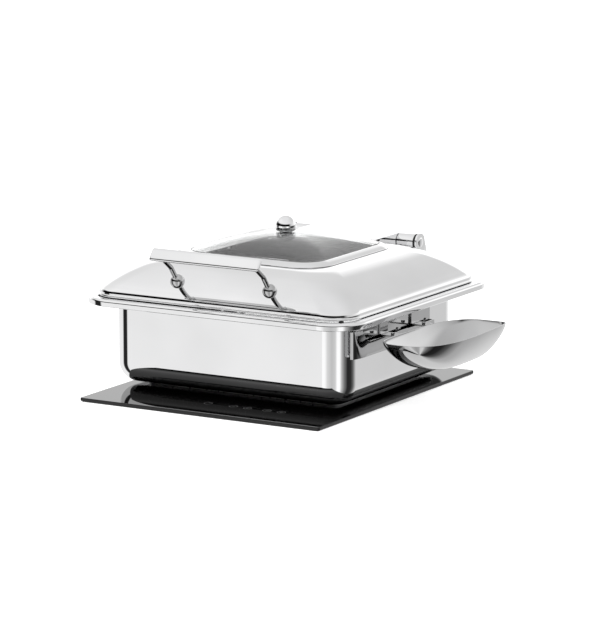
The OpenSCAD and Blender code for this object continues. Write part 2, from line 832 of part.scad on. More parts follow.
// At each stem's foot, with +Z pointing straight out of the lid
module at_foot() {
  at_stems() translate([0, foot_y, foot_z]) rotate([foot_tilt, 0, 0]) children();
}

// Where a stem that bends with radius r from slope a to slope b ends; it turns back down if r < 0
function bend_end(p, r, a, b) = p + r * [sin(a) - sin(b), cos(a) - cos(b)];

// Where a straight stretch of slope a ends
function straight_end(p, l, a) = p + l * [-cos(a), sin(a)];

// The stem's path as [y, z]: two bends, a straight, a bend back and a straight to the grip
bend_1 = bend_end(stem_start, 20, 0, 35);
bend_2 = bend_end(bend_1, 90, 35, stem_tilt);
run_1 = straight_end(bend_2, 27, stem_tilt);
bend_3 = bend_end(run_1, -15, stem_tilt, grip_tilt);
run_2 = straight_end(bend_3, 25, grip_tilt);
grip_middle = straight_end(run_2, grip_t / 2, grip_tilt);

module stem_bend(p, r, a, b, t) {
  centre = p + r * [sin(a), cos(a)];
  translate([0, centre[0], centre[1]]) rotate([0, 90, 0]) rotate([0, 0, r > 0 ? -b : 180 - a])
    rotate_extrude(angle = abs(b - a)) translate([abs(r), 0]) circle(t, $fn = 32);
}

module stem_run(p, l, a, t) {
  translate([0, p[0], p[1]]) rotate([90 - a, 0, 0]) translate([0, 0, -0.5]) cylinder(r = t, h = l + 0.5);
}

module handle_foot() {
  half = grip_l / 2 + 2;
  w = foot_w / 2;
  color(polished) on_hob() difference() {
    translate([handle_shift, foot_y, foot_z]) rotate([foot_tilt, 0, 0]) linear_extrude(foot_t)
      polygon([[-half, 0], [-half + 4, -w], [half - 4, -w], [half, 0], [half - 4, w], [-half + 4, w]]);
    at_foot() translate([0, 0, -1]) cylinder(r = stud_r, h = 6);
    at_stems() translate([0, stem_start[0], stem_start[1]]) rotate([90, 0, 0]) cylinder(r = 2.4, h = 5);
  }
}

module handle_stems() {
  color(polished) on_hob() {
    at_foot() translate([0, 0, -7]) cylinder(r = stud_r, h = 10);
    at_stems() {
      stem_bend(stem_start, 20, 0, 35, 2.4);
      stem_bend(bend_1, 90, 35, stem_tilt, 2.6);
      stem_run(bend_2, 27.5, stem_tilt, stem_r);
      stem_bend(run_1, -15, stem_tilt, grip_tilt, 2.8);
      stem_run(bend_3, 25, grip_tilt, stem_r);
    }
  }
}

module handle_balls() {
  at_ball = straight_end(bend_2, 5, stem_tilt);
  color(polished) on_hob() at_stems() translate([0, at_ball[0], at_ball[1]]) rotate([90 - stem_tilt, 0, 0])
    difference() {
      sphere(d = 17);
      cylinder(r = stem_r, h = 30, center = true);
    }
}

module handle_grip() {
  color([0.95, 0.95, 0.95]) on_hob() translate([handle_shift, grip_middle[0], grip_middle[1]])
    rotate([-grip_tilt, 0, 0]) rotate([0, 90, 0]) linear_extrude(grip_l, center = true) {
      square([grip_h - grip_t, grip_t], center = true);
      for (s = [-1, 1]) translate([s * (grip_h - grip_t) / 2, 0]) circle(d = grip_t);
    }
}

module handle_nuts() {
  color(steel) on_hob() at_foot() translate([0, 0, -6]) difference() {
    cylinder(r = 4, h = 3, $fn = 6);
    translate([0, 0, -1]) cylinder(r = stud_r, h = 8);
  }
}

module hinge_leaf() {
  front = window_shift + window_d / 2 + 10;
  top = pin_z + barrel_r;
  t = 2.5;
  cheek = concat(
    [for (y = [front:6:front + 42]) [y, lid_top(y) + 0.5]],
    [[pin_y - 6, pin_z - 6], [pin_y, top - 1], [front, top - 1]]
  );
  color(polished) on_hob() difference() {
    union() {
      along_pin(-leaf_x, barrel_r, 2 * leaf_x);
      translate([-leaf_x, front, top - t]) cube([2 * leaf_x, pin_y - front, t]);
      both_sides() translate([leaf_x - 2, 0, 0]) rotate([90, 0, 90]) linear_extrude(2) polygon(cheek);
    }
    along_pin(-leaf_x - 1, 7.5, 2 * leaf_x + 2);
  }
}

module hinge_damper() {
  color(black) on_hob() difference() {
    along_pin(-leaf_x, 7.5, 2 * leaf_x);
    along_pin(-leaf_x - 1, pin_r + 0.05, 2 * leaf_x + 2);
  }
}

hob_glass();
glass_seal();
hob_housing();
base_cover();
base_screws();
worktop_clamps();
clamp_screws();
shield_plate();
coil_carrier();
ferrite_bars();
induction_coil();
insulation_disc();
temperature_sensor();
coil_leads();
power_board();
board_standoffs();
heatsink();
power_transistors();
filter_capacitors();
filter_choke();
control_holder();
control_board();
display_module();
touch_springs();
fan_housing();
fan_rotor();
air_duct();
terminal_block();
cable_gland();
gland_nut();
induction_base();
water_pan();
pan_rim();
lid_bumpers();
food_pan();
side_bracket();
bracket_studs();
spoon_rest();
spoon_hooks();
spoon_rivets();
hinge_bracket();
hinge_screws();
hinge_rings();
hinge_pin();
hinge_caps();
hinge_leaf();
hinge_damper();
lid_shell();
window_frame();
window_gasket();
window_glass();
knob_washer();
lid_knob();
knob_screw();
handle_foot();
handle_stems();
handle_balls();
handle_grip();
handle_nuts();
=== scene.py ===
"""Looks for the induction chafing set: polished steel dish with a window lid, on a black glass hob."""
import math

import bmesh
import bpy
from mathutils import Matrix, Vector


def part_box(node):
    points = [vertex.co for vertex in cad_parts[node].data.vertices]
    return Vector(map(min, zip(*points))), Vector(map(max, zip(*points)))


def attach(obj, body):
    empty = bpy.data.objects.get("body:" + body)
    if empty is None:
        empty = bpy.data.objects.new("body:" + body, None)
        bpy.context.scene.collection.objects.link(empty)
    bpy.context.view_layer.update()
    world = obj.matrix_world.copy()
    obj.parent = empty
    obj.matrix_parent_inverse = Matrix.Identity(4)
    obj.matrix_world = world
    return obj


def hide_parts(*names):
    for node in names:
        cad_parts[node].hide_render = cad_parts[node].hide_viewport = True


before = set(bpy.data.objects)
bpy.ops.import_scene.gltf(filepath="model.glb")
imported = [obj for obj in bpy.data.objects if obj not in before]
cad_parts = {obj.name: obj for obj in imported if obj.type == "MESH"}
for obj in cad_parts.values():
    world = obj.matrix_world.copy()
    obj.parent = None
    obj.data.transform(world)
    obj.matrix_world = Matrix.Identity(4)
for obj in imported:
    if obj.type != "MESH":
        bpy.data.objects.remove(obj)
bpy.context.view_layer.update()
MM = 0.001


def lo_hi(node):
    """Lowest and highest corner of a CAD node, in millimetres."""
    lo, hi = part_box(node)
    return [v / MM for v in lo], [v / MM for v in hi]


# ---- driving sizes, in millimetres, taken from the frame ------------------------------------

glass_lo, glass_hi = lo_hi("hob_glass")
body_lo, body_hi = lo_hi("water_pan")
rim_lo, rim_hi = lo_hi("pan_rim")
lid_lo, lid_hi = lo_hi("lid_shell")
frame_lo, frame_hi = lo_hi("window_frame")
pane_lo, pane_hi = lo_hi("window_glass")
knob_lo, knob_hi = lo_hi("lid_knob")
pan_lo = lo_hi("food_pan")[0]
bowl_lo, bowl_hi = lo_hi("spoon_rest")
hooks_lo, hooks_hi = lo_hi("spoon_hooks")
channel_lo, channel_hi = lo_hi("side_bracket")
grip_lo, grip_hi = lo_hi("handle_grip")
foot_lo, foot_hi = lo_hi("handle_foot")
stems_lo, stems_hi = lo_hi("handle_stems")
balls_lo, balls_hi = lo_hi("handle_balls")
leaf_lo, leaf_hi = lo_hi("hinge_leaf")
pin_lo, pin_hi = lo_hi("hinge_pin")
caps_hi = lo_hi("hinge_caps")[1]
seal_lo = lo_hi("glass_seal")[0]
house_lo, house_hi = lo_hi("hob_housing")

G = glass_hi[2]
RIM = rim_hi[2]
CORNER_STEPS = 20
SIDE_STEPS = 6


# ---- mesh helpers ---------------------------------------------------------------------------

def ring(w, d, r, z, bulge=0.0, cx=0.0, cy=0.0):
    """Points round a rounded rectangle, anticlockwise. bulge swells the straight sides outwards."""
    points = []
    for q in range(4):
        sx = 1 if q in (0, 3) else -1
        sy = 1 if q < 2 else -1
        ox = sx * (w / 2 - r)
        oy = sy * (d / 2 - r)
        for i in range(CORNER_STEPS + 1):
            a = math.pi / 2 * (q + i / CORNER_STEPS)
            points.append((ox + r * math.cos(a), oy + r * math.sin(a)))
        along_x = q % 2 == 0
        run = (w if along_x else d) - 2 * r
        step = -1 if q < 2 else 1
        for i in range(1, SIDE_STEPS):
            t = i / SIDE_STEPS
            if along_x:
                points.append((ox + step * run * t, sy * d / 2))
            else:
                points.append((sx * w / 2, oy + step * run * t))
    if bulge:
        points = [swell(p, w, d, bulge) for p in points]
    return [Vector((cx + x, cy + y, z)) for x, y in points]


def swell(p, w, d, bulge):
    """Moves a point outwards by bulge at the middle of each side, fading to nothing at its ends."""
    x, y = p
    kx = max(0.0, 1 - (2 * x / w) ** 2)
    ky = max(0.0, 1 - (2 * y / d) ** 2)
    return (x + math.copysign(bulge * ky, x) * (abs(x) * 2 / w) ** 2,
            y + math.copysign(bulge * kx, y) * (abs(y) * 2 / d) ** 2)


def new_object(name, verts, faces):
    mesh = bpy.data.meshes.new(name)
    mesh.from_pydata([tuple(c * MM for c in v) for v in verts], [], faces)
    mesh.validate()
    obj = bpy.data.objects.new(name, mesh)
    bpy.context.scene.collection.objects.link(obj)
    return obj


def loft_data(rings, hoop=False, cap=True):
    """Vertices and faces of a skin through rings of equal length."""
    n = len(rings[0])
    m = len(rings)
    verts = [p for r in rings for p in r]
    faces = []
    for k in range(m if hoop else m - 1):
        k2 = (k + 1) % m
        for i in range(n):
            j = (i + 1) % n
            faces.append([k * n + i, k * n + j, k2 * n + j, k2 * n + i])
    if cap and not hoop:
        faces.append(list(range(n - 1, -1, -1)))
        faces.append([(m - 1) * n + i for i in range(n)])
    return verts, faces


def loft(name, rings, hoop=False, cap=True):
    return new_object(name, *loft_data(rings, hoop, cap))


def join(name, parts):
    """One object out of several (vertices, faces) lists whose faces start at 0."""
    verts = []
    faces = []
    for v, f in parts:
        base = len(verts)
        verts.extend(v)
        faces.extend([[base + i for i in face] for face in f])
    return new_object(name, verts, faces)


def tube_data(path, radii, sides):
    """A round tube along a path of points, with a radius for each."""
    rings = []
    for i, p in enumerate(path):
        a = path[max(0, i - 1)]
        b = path[min(len(path) - 1, i + 1)]
        t = (b - a).normalized()
        ref = Vector((1, 0, 0)) if abs(t.x) < 0.9 else Vector((0, 1, 0))
        u = (ref - t * ref.dot(t)).normalized()
        v = t.cross(u)
        turns = [2 * math.pi * k / sides for k in range(sides)]
        rings.append([p + u * (radii[i] * math.cos(a)) + v * (radii[i] * math.sin(a)) for a in turns])
    return loft_data(rings)


def lathe_data(profile, centre, axis="Z", sides=64):
    """Turns a profile of (radius, height) about an axis through centre.

    The solid is closed when the profile starts and ends at radius 0."""
    verts = []
    faces = []
    for r, h in profile:
        for k in range(sides):
            a = 2 * math.pi * k / sides
            c, s = r * math.cos(a), r * math.sin(a)
            offset = (h, c, s) if axis == "X" else (c, s, h)
            verts.append(Vector(centre) + Vector(offset))
    for k in range(len(profile) - 1):
        for i in range(sides):
            j = (i + 1) % sides
            faces.append([k * sides + i, k * sides + j, (k + 1) * sides + j, (k + 1) * sides + i])
    return verts, faces


def prism_data(outline, x0, x1):
    """An outline of (y, z) points pushed along X."""
    n = len(outline)
    verts = [Vector((x0, y, z)) for y, z in outline] + [Vector((x1, y, z)) for y, z in outline]
    faces = [[i, (i + 1) % n, n + (i + 1) % n, n + i] for i in range(n)]
    faces.append(list(range(n - 1, -1, -1)))
    faces.append(list(range(n, 2 * n)))
    return verts, faces


def box_data(lo, hi):
    outline = [(lo[1], lo[2]), (hi[1], lo[2]), (hi[1], hi[2]), (lo[1], hi[2])]
    return prism_data(outline, lo[0], hi[0])


def arc(cx, cy, r, a0, a1, steps):
    """Points on an arc, angles in degrees, both ends included."""
    return [(cx + r * math.cos(math.radians(a0 + (a1 - a0) * i / steps)),
             cy + r * math.sin(math.radians(a0 + (a1 - a0) * i / steps))) for i in range(steps + 1)]


def curve_through(points, steps):
    """A smooth curve through control points, steps samples between each pair."""
    out = []
    n = len(points)
    for i in range(n - 1):
        p0 = points[max(0, i - 1)]
        p1 = points[i]
        p2 = points[i + 1]
        p3 = points[min(n - 1, i + 2)]
        for k in range(steps):
            t = k / steps
            out.append(tuple(
                0.5 * (2 * b + (c - a) * t + (2 * a - 5 * b + 4 * c - d) * t ** 2
                       + (3 * b - a - 3 * c + d) * t ** 3)
                for a, b, c, d in zip(p0, p1, p2, p3)))
    out.append(tuple(points[-1]))
    return out


def dress(obj, body, material, nodes=(), sharp=40, bevel=0.0, merge=0.0005):
    """Cleans a mesh, smooths it, gives it its finish and puts it on its body."""
    bm = bmesh.new()
    bm.from_mesh(obj.data)
    bmesh.ops.remove_doubles(bm, verts=bm.verts, dist=merge * MM)
    bmesh.ops.dissolve_degenerate(bm, edges=bm.edges, dist=0.0002 * MM)
    bmesh.ops.recalc_face_normals(bm, faces=bm.faces)
    for face in bm.faces:
        face.smooth = True
    for edge in bm.edges:
        if edge.is_manifold and edge.calc_face_angle(0) > math.radians(sharp):
            edge.smooth = False
    bm.to_mesh(obj.data)
    bm.free()
    if bevel:
        b = obj.modifiers.new("soft_edges", "BEVEL")
        b.width = bevel * MM
        b.segments = 3
        b.limit_method = "ANGLE"
        b.angle_limit = math.radians(30)
        b.harden_normals = True
        for poly in obj.data.polygons:
            poly.use_smooth = True
    else:
        w = obj.modifiers.new("flat_faces", "WEIGHTED_NORMAL")
        w.keep_sharp = True
        w.weight = 50
    obj.data.materials.clear()
    obj.data.materials.append(material)
    if nodes:
        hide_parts(*nodes)
    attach(obj, body)
    return obj


# ---- materials ------------------------------------------------------------------------------

def new_material(name):
    mat = bpy.data.materials.new(name)
    mat.use_nodes = True
    shader = mat.node_tree.nodes["Principled BSDF"]
    return mat, mat.node_tree, shader


def noise(tree, scale, detail=3.0, stretch=(1, 1, 1), rough=0.5):
    """Object-space noise, stretched along an axis when wanted."""
    coords = tree.nodes.new("ShaderNodeTexCoord")
    mapping = tree.nodes.new("ShaderNodeMapping")
    mapping.inputs["Scale"].default_value = stretch
    tex = tree.nodes.new("ShaderNodeTexNoise")
    tex.inputs["Scale"].default_value = scale
    tex.inputs["Detail"].default_value = detail
    tex.inputs["Roughness"].default_value = rough
    tree.links.new(coords.outputs["Object"], mapping.inputs["Vector"])
    tree.links.new(mapping.outputs["Vector"], tex.inputs["Vector"])
    return tex.outputs["Fac"]


def spread(tree, value, low, high):
    node = tree.nodes.new("ShaderNodeMapRange")
    node.inputs["From Min"].default_value = 0.3
    node.inputs["From Max"].default_value = 0.7
    node.inputs["To Min"].default_value = low
    node.inputs["To Max"].default_value = high
    tree.links.new(value, node.inputs["Value"])
    return node.outputs["Result"]


def tint(tree, value, dark, light):
    ramp = tree.nodes.new("ShaderNodeValToRGB")
    ramp.color_ramp.elements[0].position = 0.35
    ramp.color_ramp.elements[0].color = (*dark, 1)
    ramp.color_ramp.elements[1].position = 0.65
    ramp.color_ramp.elements[1].color = (*light, 1)
    tree.links.new(value, ramp.inputs["Fac"])
    return ramp.outputs["Color"]


def bump(tree, shader, value, strength, distance):
    node = tree.nodes.new("ShaderNodeBump")
    node.inputs["Strength"].default_value = strength
    node.inputs["Distance"].default_value = distance
    tree.links.new(value, node.inputs["Height"])
    tree.links.new(node.outputs["Normal"], shader.inputs["Normal"])


def metal(name, dark, light, rough, grain=(1, 1, 1), grain_scale=900.0, grain_bump=0.0):
    """Metal with slow colour drift and fine polishing or brushing grain."""
    mat, tree, shader = new_material(name)
    shader.inputs["Metallic"].default_value = 1.0
    drift = noise(tree, 9.0, 2.0)
    tree.links.new(tint(tree, drift, dark, light), shader.inputs["Base Color"])
    fine = noise(tree, grain_scale, 2.0, grain)
    tree.links.new(spread(tree, fine, rough[0], rough[1]), shader.inputs["Roughness"])
    if grain_bump:
        bump(tree, shader, fine, grain_bump, 0.00004)
    return mat


def plastic(name, dark, light, rough=(0.4, 0.55), scale=1400.0, strength=0.25, distance=0.00005, coat=0.0):
    mat, tree, shader = new_material(name)
    speck = noise(tree, scale, 2.0)
    tree.links.new(tint(tree, noise(tree, 30.0, 3.0), dark, light), shader.inputs["Base Color"])
    tree.links.new(spread(tree, speck, rough[0], rough[1]), shader.inputs["Roughness"])
    shader.inputs["Coat Weight"].default_value = coat
    bump(tree, shader, speck, strength, distance)
    return mat


def grey(v):
    return (v, v, v * 1.005)


polished = metal("mirror_polished_steel", grey(0.84), grey(0.9), (0.02, 0.05))
# The same polished steel as above with its colour painted darker: painted shade for the spoon rest, its
# hooks, the wall bracket and the handle's rods, beads and strap.
shade_painted_steel = metal("polished_steel_painted_shade", grey(0.5), grey(0.57), (0.03, 0.07))
satin = metal("satin_pan_steel", grey(0.58), grey(0.66), (0.2, 0.3), (1, 12, 1), 500.0, grain_bump=0.06)
brushed_base = metal("brushed_magnetic_steel", grey(0.4), grey(0.52), (0.25, 0.42), (1, 30, 1), 300.0,
                     grain_bump=0.3)
zinc = metal("galvanised_sheet", grey(0.45), grey(0.62), (0.32, 0.5), (1, 1, 1), 60.0, grain_bump=0.2)
plated = metal("plated_screw_steel", grey(0.6), grey(0.7), (0.15, 0.28), (1, 1, 1), 800.0, grain_bump=0.1)
milled = metal("mill_finish_aluminium", (0.7, 0.71, 0.72), (0.8, 0.81, 0.82), (0.28, 0.42), (20, 1, 1),
               200.0, grain_bump=0.2)
copper = metal("enamelled_copper_braid", (0.5, 0.2, 0.08), (0.7, 0.33, 0.15), (0.25, 0.45),
               grain_bump=0.9)
brass = metal("turned_brass", (0.62, 0.46, 0.2), (0.75, 0.6, 0.3), (0.2, 0.3), (1, 1, 25), 600.0,
              grain_bump=0.2)
rubber = plastic("black_silicone", (0.012,) * 3, (0.022,) * 3, (0.5, 0.65), 2200.0, 0.4)
moulding = plastic("black_moulding", (0.02,) * 3, (0.035,) * 3, (0.38, 0.5), 1800.0, 0.5)
carrier = plastic("cream_moulding", (0.62, 0.58, 0.5), (0.72, 0.69, 0.61), (0.4, 0.55))
ferrite = plastic("sintered_ferrite", (0.05, 0.05, 0.055), (0.09, 0.09, 0.095), (0.55, 0.75), 2500.0, 0.7)
paper = plastic("ceramic_paper", (0.74, 0.71, 0.64), (0.84, 0.82, 0.76), (0.85, 0.95), 3200.0, 0.9, 0.00012)
ceramic = plastic("sensor_ceramic", (0.7, 0.69, 0.66), (0.8, 0.79, 0.76), (0.3, 0.4))
sleeve = plastic("red_sleeving", (0.42, 0.03, 0.02), (0.52, 0.05, 0.03), (0.45, 0.6))
solder_mask = plastic("green_solder_mask", (0.01, 0.12, 0.05), (0.02, 0.2, 0.09), (0.25, 0.35), 900.0, 0.3,
                      coat=0.4)
epoxy = plastic("chip_epoxy", (0.015,) * 3, (0.03,) * 3, (0.5, 0.6), 2600.0, 0.5)
film = plastic("capacitor_case", (0.5, 0.42, 0.06), (0.62, 0.54, 0.12), (0.3, 0.4), coat=0.3)
red_window = plastic("display_red", (0.06, 0.004, 0.004), (0.1, 0.008, 0.008), (0.08, 0.12), coat=0.8)


def black_glass_material():
    """Black glass-ceramic: very smooth, with faint wiping marks in its gloss."""
    mat, tree, shader = new_material("black_glass_ceramic")
    drift = noise(tree, 5.0, 2.0)
    tree.links.new(tint(tree, drift, (0.0008,) * 3, (0.0016,) * 3), shader.inputs["Base Color"])
    marks = noise(tree, 30.0, 4.0, (1, 7, 1))
    tree.links.new(spread(tree, marks, 0.012, 0.035), shader.inputs["Roughness"])
    shader.inputs["IOR"].default_value = 1.5
    return mat


def window_material():
    """Tempered clear glass with a faint cool tint."""
    mat, tree, shader = new_material("tempered_window_glass")
    shader.inputs["Base Color"].default_value = (0.93, 0.935, 0.935, 1)
    shader.inputs["Transmission Weight"].default_value = 1.0
    shader.inputs["IOR"].default_value = 1.5
    marks = noise(tree, 40.0, 3.0)
    tree.links.new(spread(tree, marks, 0.0, 0.012), shader.inputs["Roughness"])
    return mat


def print_material():
    """Grey ceramic print on the hob's glass."""
    mat, tree, shader = new_material("ceramic_print")
    tree.links.new(tint(tree, noise(tree, 3000.0, 2.0), grey(0.1), grey(0.16)), shader.inputs["Base Color"])
    shader.inputs["Roughness"].default_value = 0.45
    return mat


black_glass = black_glass_material()
clear_glass = window_material()
ink = print_material()


# ---- camera ---------------------------------------------------------------------------------

CAMERA_AZIMUTH = 30.38
CAMERA_ELEVATION = 10.96
CAMERA_DISTANCE = 5.0
AIM_HEIGHT = 0.09
AIM_RIGHT = 0.0225
AIM_UP = -0.0190
LENS = 238.5


def make_camera():
    a = math.radians(CAMERA_AZIMUTH)
    e = math.radians(CAMERA_ELEVATION)
    back = Vector((math.sin(a) * math.cos(e), -math.cos(a) * math.cos(e), math.sin(e)))
    right = Vector((math.cos(a), math.sin(a), 0))
    up = back.cross(right)
    aim = Vector((0, 0, G * MM + AIM_HEIGHT)) + right * AIM_RIGHT + up * AIM_UP
    data = bpy.data.cameras.new("camera")
    data.lens = LENS
    data.sensor_width = 36
    data.clip_end = 100
    cam = bpy.data.objects.new("camera", data)
    cam.location = aim + back * CAMERA_DISTANCE
    cam.rotation_euler = back.to_track_quat("Z", "Y").to_euler()
    bpy.context.scene.collection.objects.link(cam)
    bpy.context.scene.camera = cam


make_camera()


# ---- stage and light ------------------------------------------------------------------------

def make_floor():
    """Pale worktop at the level of the hob's seal, with the cut-out that the housing hangs in.

    The cut-out is longer at the back, where the cable leaves the housing."""
    z = seal_lo[2] - 0.05
    far, corner_r = 12000.0, 6
    side_gap, front_gap, back_gap = 3, 4, 20
    cx = (house_lo[0] + house_hi[0]) / 2
    cy = (house_lo[1] + house_hi[1]) / 2 + (back_gap - front_gap) / 2
    w = house_hi[0] - house_lo[0] + 2 * side_gap
    d = house_hi[1] - house_lo[1] + front_gap + back_gap
    inner = ring(w, d, corner_r, z, cx=cx, cy=cy)
    outer = ring(far, far, corner_r, z)
    floor = loft("floor", [outer, inner], cap=False)
    mat, tree, shader = new_material("pale_worktop")
    tree.links.new(tint(tree, noise(tree, 2.0, 2.0), (0.93,) * 3, (0.95,) * 3), shader.inputs["Base Color"])
    shader.inputs["Roughness"].default_value = 0.9
    shader.inputs["Specular IOR Level"].default_value = 0.1
    shader.inputs["Emission Color"].default_value = (1, 1, 1, 1)
    shader.inputs["Emission Strength"].default_value = 0.65
    floor.data.materials.append(mat)
    floor.visible_glossy = False


def band(tree, value, edges):
    """Brightness along value, in straight runs between edges, a list of (position 0 to 1, brightness)."""
    ramp = tree.nodes.new("ShaderNodeValToRGB")
    ramp.color_ramp.interpolation = "LINEAR"
    while len(ramp.color_ramp.elements) > 1:
        ramp.color_ramp.elements.remove(ramp.color_ramp.elements[-1])
    ramp.color_ramp.elements[0].position = edges[0][0]
    ramp.color_ramp.elements[0].color = (*[edges[0][1]] * 3, 1)
    for pos, v in edges[1:]:
        e = ramp.color_ramp.elements.new(pos)
        e.color = (v, v, v, 1)
    tree.links.new(value, ramp.inputs["Fac"])
    return ramp.outputs["Color"]


def math_node(tree, op, a, b=None):
    node = tree.nodes.new("ShaderNodeMath")
    node.operation = op
    for k, v in enumerate((a, b)):
        if v is None:
            continue
        if isinstance(v, (int, float)):
            node.inputs[k].default_value = v
        else:
            tree.links.new(v, node.inputs[k])
    return node.outputs[0]


def mix_colour(tree, fac, a, b):
    node = tree.nodes.new("ShaderNodeMix")
    node.data_type = "RGBA"
    tree.links.new(fac, node.inputs[0])
    for k, v in ((6, a), (7, b)):
        if isinstance(v, tuple):
            node.inputs[k].default_value = v
        else:
            tree.links.new(v, node.inputs[k])
    return node.outputs[2]


def around(degrees):
    """Place of a direction round the object on a 0 to 1 scale: 0 degrees is the front and +90 the right."""
    return 0.5 + degrees / 360


def make_world():
    """A white studio, plain white to the camera, with a few dark flags for the polished steel to mirror.

    table, low and high are the brightness round the object below the horizon, up to 24 degrees above it,
    and from there up to the overhead softbox."""
    world = bpy.data.worlds.new("studio")
    bpy.context.scene.world = world
    world.use_nodes = True
    tree = world.node_tree
    shade = tree.nodes["Background"]
    coords = tree.nodes.new("ShaderNodeTexCoord")
    split = tree.nodes.new("ShaderNodeSeparateXYZ")
    tree.links.new(coords.outputs["Generated"], split.inputs[0])
    x, y, z = split.outputs
    height = math_node(tree, "DIVIDE", math_node(tree, "ARCSINE", z), math.pi)
    level = math_node(tree, "ADD", height, 0.5)
    turn = math_node(tree, "ARCTAN2", x, math_node(tree, "MULTIPLY", y, -1.0))
    turn = math_node(tree, "ADD", math_node(tree, "DIVIDE", turn, 2 * math.pi), 0.5)
    table = band(tree, turn, [
        (0.0, 1.0), (around(-80), 0.92), (around(-74), 0.02), (around(-52), 0.02), (around(-47), 0.92),
        (around(-28), 0.92), (around(-24), 1.12), (around(-12), 1.08), (around(0), 0.74),
        (around(20), 0.58), (around(36), 0.68), (around(45), 1.12), (around(56), 1.12), (around(66), 0.5),
        (around(78), 0.2), (around(94), 0.02), (around(114), 0.03), (around(128), 0.14),
        (around(143), 0.5), (around(148), 0.66), (around(156), 0.72), (around(172), 0.95), (1.0, 1.0)])
    low = band(tree, turn, [
        (0.0, 1.4), (around(-110), 1.3), (around(-84), 0.0), (around(70), 0.0), (around(86), 0.6),
        (around(120), 0.85), (around(160), 1.3), (1.0, 1.4)])
    high = band(tree, turn, [
        (0.0, 0.74), (around(-110), 0.86), (around(-60), 0.98), (around(0), 0.92), (around(60), 0.86),
        (around(110), 0.76), (around(150), 0.72), (1.0, 0.74)])
    overhead = (0.87, 0.87, 0.875, 1)

    def above(degrees, soft):
        """1 above a height over the horizon and 0 below it, with a soft change between them."""
        node = tree.nodes.new("ShaderNodeMapRange")
        node.interpolation_type = "SMOOTHSTEP"
        node.inputs["From Min"].default_value = 0.5 + (degrees - soft) / 180
        node.inputs["From Max"].default_value = 0.5 + (degrees + soft) / 180
        tree.links.new(level, node.inputs["Value"])
        return node.outputs["Result"]

    mirror = mix_colour(tree, above(1.0, 1.5), table, low)
    mirror = mix_colour(tree, above(24.0, 6.0), mirror, high)
    mirror = mix_colour(tree, above(62.0, 16.0), mirror, overhead)
    path = tree.nodes.new("ShaderNodeLightPath")
    soft = math_node(tree, "MAXIMUM", path.outputs["Is Camera Ray"], path.outputs["Is Diffuse Ray"])
    plain = (1.02, 1.02, 1.02, 1)
    tree.links.new(mix_colour(tree, soft, mirror, plain), shade.inputs["Color"])
    shade.inputs["Strength"].default_value = 1.0


def area_light(name, place, size, power):
    data = bpy.data.lights.new(name, "AREA")
    data.shape = "RECTANGLE"
    data.size, data.size_y = size
    data.energy = power
    lamp = bpy.data.objects.new(name, data)
    lamp.location = place
    lamp.rotation_euler = (Vector(place) - Vector((0, 0, 0.15))).to_track_quat("Z", "Y").to_euler()
    lamp.visible_glossy = False
    lamp.visible_camera = False
    bpy.context.scene.collection.objects.link(lamp)


make_floor()
make_world()
area_light("overhead_softbox", (-0.6, -0.8, 2.6), (2.2, 2.2), 14)
bpy.context.scene.view_settings.view_transform = "Standard"
bpy.context.scene.view_settings.look = "None"


# ---- hob ------------------------------------------------------------------------------------

def hob_glass():
    """The glass plate with its edges broken all round."""
    w = glass_hi[0] - glass_lo[0]
    d = glass_hi[1] - glass_lo[1]
    cx = (glass_hi[0] + glass_lo[0]) / 2
    cy = (glass_hi[1] + glass_lo[1]) / 2
    corner_r = 3.0
    edge = 0.7

    def level(inset, z):
        return ring(w - 2 * inset, d - 2 * inset, corner_r - inset * 0.6, z, cx=cx, cy=cy)

    quarter = arc(0, 0, edge, 0, 90, 3)
    rings = [level(edge, glass_lo[2])]
    rings += [level(edge - z, glass_lo[2] + edge - x) for x, z in quarter[1:]]
    rings += [level(edge - x, G - edge + z) for x, z in quarter]
    dress(loft("glass_plate", rings), "hob", black_glass, ["hob_glass"])


PRINT_T = 0.05


def flat_ring(cx, cy, r, width, steps=48, a0=0.0, a1=360.0):
    """A printed arc or full circle on the glass."""
    inner = arc(cx, cy, r - width, a0, a1, steps)
    outer = arc(cx, cy, r, a0, a1, steps)
    n = steps + 1
    verts = [Vector((x, y, G + z)) for z in (0.01, PRINT_T) for x, y in inner + outer]
    faces = []
    for i in range(steps):
        faces.append([i, i + 1, n + i + 1, n + i])
        faces.append([2 * n + i, 3 * n + i, 3 * n + i + 1, 2 * n + i + 1])
    return verts, faces


def flat_bar(cx, cy, w, d):
    return box_data((cx - w / 2, cy - d / 2, G + 0.01), (cx + w / 2, cy + d / 2, G + PRINT_T))


def hob_print():
    """Round touch symbols, generic ones only, and the mark of the heating zone."""
    y = glass_lo[1] + 48.8
    power, minus_keys, plus_keys = -1.5, (32.4, 77.3), (51.4, 96.3)
    key_r, line, stroke = 5.2, 0.8, 5
    zone_r, zone_gap = 100, 8
    parts = []
    for x in (power, *minus_keys, *plus_keys):
        parts.append(flat_ring(x, y, key_r, 0.7))
    parts.append(flat_bar(power, y + 3, line, 4))
    for x in minus_keys:
        parts.append(flat_bar(x, y, stroke, line))
    for x in plus_keys:
        parts.append(flat_bar(x, y, stroke, line))
        parts.append(flat_bar(x, y, line, stroke))
    for a in (0, 90, 180, 270):
        parts.append(flat_ring(0, 0, zone_r, 0.9, 24, a + zone_gap, a + 90 - zone_gap))
    dress(join("touch_symbols", parts), "hob", ink)


# ---- dish -----------------------------------------------------------------------------------

